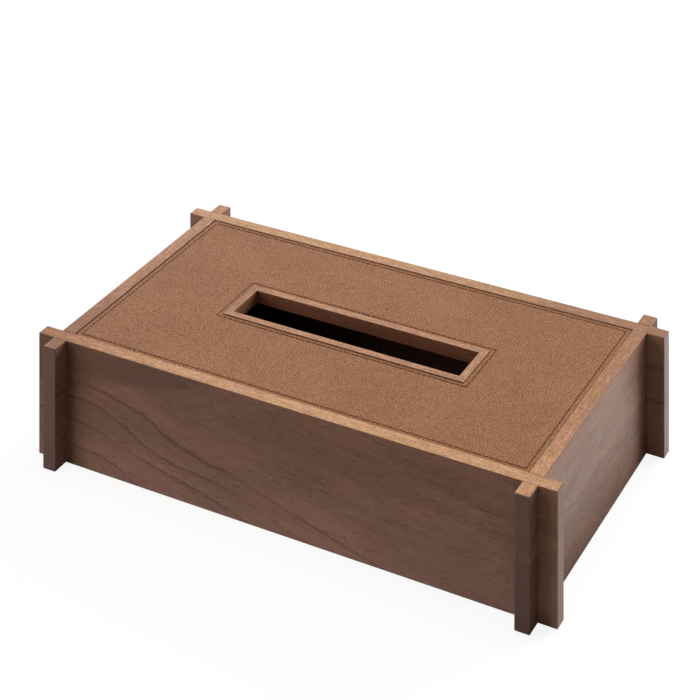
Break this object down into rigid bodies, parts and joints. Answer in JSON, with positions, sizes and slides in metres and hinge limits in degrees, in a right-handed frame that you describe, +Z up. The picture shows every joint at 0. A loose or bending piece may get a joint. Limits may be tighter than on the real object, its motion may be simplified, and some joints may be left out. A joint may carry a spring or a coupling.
{
  "type": "tissue box",
  "caption": "Low walnut tissue box: boards cross at the corners, and a leather-covered lid with a framed tissue slot lifts out from between them.",
  "frame": {"origin": "middle of the underside, on the surface that the box stands on", "axes": "+X along the box's length, front towards -Y, +Z up"},
  "size_m": [0.3, 0.18, 0.065],
  "materials": {
    "walnut": "satin oil, softened edges",
    "ledge_wood": "plain sanded walnut",
    "plywood": "plain sanded plywood",
    "leather": "tan, fine pebble grain, low sheen",
    "lining_cloth": "thin dark brown microfibre",
    "felt": "thin dark brown felt",
    "thread": "dark brown waxed thread",
    "nickel_plate": "nickel-plated disc magnet",
    "plain_steel": "plain steel disc"
  },
  "bodies": {
    "case": {"front_wall": "walnut", "back_wall": "walnut", "left_end_wall": "walnut", "right_end_wall": "walnut", "base_board": "plywood", "base_lining": "felt", "lid_rest_front": "ledge_wood", "lid_rest_back": "ledge_wood", "lid_rest_left": "ledge_wood", "lid_rest_right": "ledge_wood", "lid_magnets": "nickel_plate"},
    "lid": {"lid_board": "plywood", "lid_leather": "leather", "lid_lining": "lining_cloth", "lid_steel_discs": "plain_steel", "slot_frame_front": "walnut", "slot_frame_back": "walnut", "slot_frame_left": "walnut", "slot_frame_right": "walnut", "edge_stitching": "thread", "slot_stitching": "thread"}
  },
  "joints": [
    {"name": "lid_lift", "type": "slide", "parent": "case", "child": "lid", "axis": [0, 0, 1], "range_m": [0, 0.08]}
  ]
}
